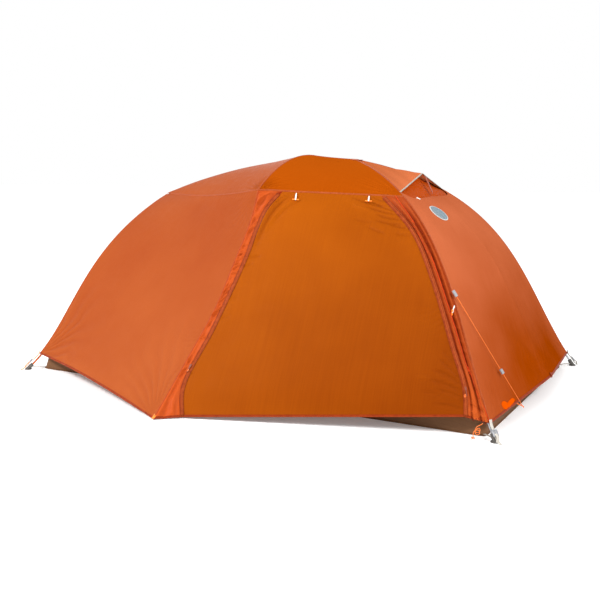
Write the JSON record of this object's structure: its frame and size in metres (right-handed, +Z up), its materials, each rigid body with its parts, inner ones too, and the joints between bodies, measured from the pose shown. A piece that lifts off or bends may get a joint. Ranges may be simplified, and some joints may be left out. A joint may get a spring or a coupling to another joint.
{
  "type": "tent on poles",
  "caption": "Low two-sleeper double-wall tent on a hubbed pole set, fly pitched, with a lift-up vestibule door on each long side and a propped roof vent at the head end.",
  "frame": {"origin": "on the ground at the centre of the floor", "axes": "+X towards the head end, +Y towards the back door, +Z up; the front door faces -Y"},
  "size_m": [2.4222, 2.0678, 1.0304],
  "materials": {
    "fly_salmon": "silicone-coated ripstop nylon, soft sheen",
    "fly_orange": "silicone-coated ripstop nylon, more saturated and slightly translucent",
    "fly_flap": "folded double ripstop nylon, gathered",
    "tub_cloth": "coated nylon floor cloth, matt",
    "inner_mesh": "fine knitted insect mesh and light ripstop",
    "tube_silver": "satin anodised tube",
    "tube_orange": "orange anodised tube",
    "hub_plastic": "moulded nylon",
    "foot_plastic": "moulded nylon",
    "webbing_grey": "woven webbing",
    "webbing_orange": "woven webbing",
    "cord_orange": "braided cord",
    "shock_cord": "braided elastic cord",
    "toggle_orange": "moulded toggle",
    "anchor_white": "moulded anchor",
    "fitting_grey": "moulded fitting",
    "zip_metal": "die-cast slider"
  },
  "bodies": {
    "pitched_tent": {"head_leg_pole_front": "tube_silver", "head_leg_pole_back": "tube_silver", "foot_leg_pole_front": "tube_orange", "foot_leg_pole_back": "tube_orange", "ridge_pole": "tube_silver", "brow_pole": "tube_orange", "pole_set_shock_cord": "shock_cord", "brow_shock_cord": "shock_cord", "head_hub": "hub_plastic", "foot_hub": "hub_plastic", "brow_saddle": "hub_plastic", "head_pole_foot_front": "foot_plastic", "head_pole_foot_back": "foot_plastic", "foot_pole_foot_front": "foot_plastic", "foot_pole_foot_back": "foot_plastic", "fly_centre_roof_front": "fly_orange", "fly_centre_roof_back": "fly_orange", "fly_foot_roof_front": "fly_salmon", "fly_foot_roof_back": "fly_salmon", "fly_foot_side_front": "fly_salmon", "fly_foot_side_back": "fly_salmon", "foot_storm_flap_front": "fly_flap", "foot_storm_flap_back": "fly_flap", "head_storm_flap_front": "fly_flap", "head_storm_flap_back": "fly_flap", "fly_head_end": "fly_salmon", "fly_foot_end": "fly_salmon", "vent_hood": "fly_salmon", "vent_mesh": "inner_mesh", "bathtub_floor": "tub_cloth", "inner_side_wall_front": "inner_mesh", "inner_side_wall_back": "inner_mesh", "inner_head_wall": "inner_mesh", "inner_foot_wall": "inner_mesh", "head_canopy_clip_front": "fitting_grey", "head_canopy_clip_back": "fitting_grey", "foot_canopy_clip_front": "fitting_grey", "foot_canopy_clip_back": "fitting_grey", "head_corner_strap_front": "webbing_grey", "head_corner_strap_back": "webbing_grey", "foot_corner_strap_front": "webbing_orange", "foot_corner_strap_back": "webbing_orange", "head_ladder_lock_front": "fitting_grey", "head_ladder_lock_back": "fitting_grey", "foot_ladder_lock_front": "fitting_grey", "foot_ladder_lock_back": "fitting_grey", "guyline": "cord_orange", "guyline_anchor": "anchor_white"},
    "front_door": {"door_front": "fly_orange"},
    "front_foot_zip_slider": {"foot_zip_slider_front": "zip_metal"},
    "front_foot_toggle": {"foot_door_toggle_front": "toggle_orange"},
    "front_head_zip_slider": {"head_zip_slider_front": "zip_metal"},
    "front_head_toggle": {"head_door_toggle_front": "toggle_orange"},
    "back_door": {"door_back": "fly_orange"},
    "back_foot_zip_slider": {"foot_zip_slider_back": "zip_metal"},
    "back_foot_toggle": {"foot_door_toggle_back": "toggle_orange"},
    "back_head_zip_slider": {"head_zip_slider_back": "zip_metal"},
    "back_head_toggle": {"head_door_toggle_back": "toggle_orange"},
    "strut": {"vent_strut": "fitting_grey"},
    "tensioner": {"guyline_tensioner": "fitting_grey"}
  },
  "joints": [
    {"name": "front_door_lift", "type": "hinge", "parent": "pitched_tent", "child": "front_door", "pos_m": [0.3594, -0.38351, 0.87028], "axis": [-0.9469, -0.3189, 0.0408], "range_deg": [0, 75]},
    {"name": "front_foot_zip_slider_run", "type": "hinge", "parent": "pitched_tent", "child": "front_foot_zip_slider", "pos_m": [-0.08508, -2.63549, 1.62494], "axis": [0.98, -0.1441, -0.137], "range_deg": [0, 11.03]},
    {"name": "front_foot_toggle_swing", "type": "hinge", "parent": "front_door", "child": "front_foot_toggle", "pos_m": [0.23958, -0.42386, 0.87544], "axis": [-0.9469, -0.3189, 0.0408], "range_deg": [0, 60]},
    {"name": "front_head_zip_slider_run", "type": "hinge", "parent": "pitched_tent", "child": "front_head_zip_slider", "pos_m": [-0.38511, -0.05439, -0.50912], "axis": [-0.4472, -0.8837, 0.1382], "range_deg": [0, 28.84]},
    {"name": "front_head_toggle_swing", "type": "hinge", "parent": "front_door", "child": "front_head_toggle", "pos_m": [0.49081, -0.33924, 0.86461], "axis": [-0.9469, -0.3189, 0.0408], "range_deg": [0, 60]},
    {"name": "back_door_lift", "type": "hinge", "parent": "pitched_tent", "child": "back_door", "pos_m": [0.3594, 0.38351, 0.87028], "axis": [0.9469, -0.3189, -0.0408], "range_deg": [0, 75]},
    {"name": "back_foot_zip_slider_run", "type": "hinge", "parent": "pitched_tent", "child": "back_foot_zip_slider", "pos_m": [-0.08508, 2.63549, 1.62494], "axis": [-0.98, -0.1441, 0.137], "range_deg": [0, 11.03]},
    {"name": "back_foot_toggle_swing", "type": "hinge", "parent": "back_door", "child": "back_foot_toggle", "pos_m": [0.23958, 0.42386, 0.87544], "axis": [0.9469, -0.3189, -0.0408], "range_deg": [0, 60]},
    {"name": "back_head_zip_slider_run", "type": "hinge", "parent": "pitched_tent", "child": "back_head_zip_slider", "pos_m": [-0.38511, 0.05439, -0.50912], "axis": [0.4472, -0.8837, -0.1382], "range_deg": [0, 28.84]},
    {"name": "back_head_toggle_swing", "type": "hinge", "parent": "back_door", "child": "back_head_toggle", "pos_m": [0.49081, 0.33924, 0.86461], "axis": [0.9469, -0.3189, -0.0408], "range_deg": [0, 60]},
    {"name": "vent_strut_fold", "type": "hinge", "parent": "pitched_tent", "child": "strut", "pos_m": [0.671, 0, 0.858], "axis": [0, 1, 0], "range_deg": [0, 145]},
    {"name": "guyline_tensioner_slide", "type": "slide", "parent": "pitched_tent", "child": "tensioner", "axis": [0.478, 0.2181, -0.8508], "range_m": [-0.3, 0.13]}
  ],
  "couplings": [
    {"joint": "front_foot_zip_slider_run", "follows": "front_door_lift", "ratio": 0.147},
    {"joint": "front_head_zip_slider_run", "follows": "front_door_lift", "ratio": 0.3844},
    {"joint": "back_foot_zip_slider_run", "follows": "back_door_lift", "ratio": 0.147},
    {"joint": "back_head_zip_slider_run", "follows": "back_door_lift", "ratio": 0.3844}
  ]
}
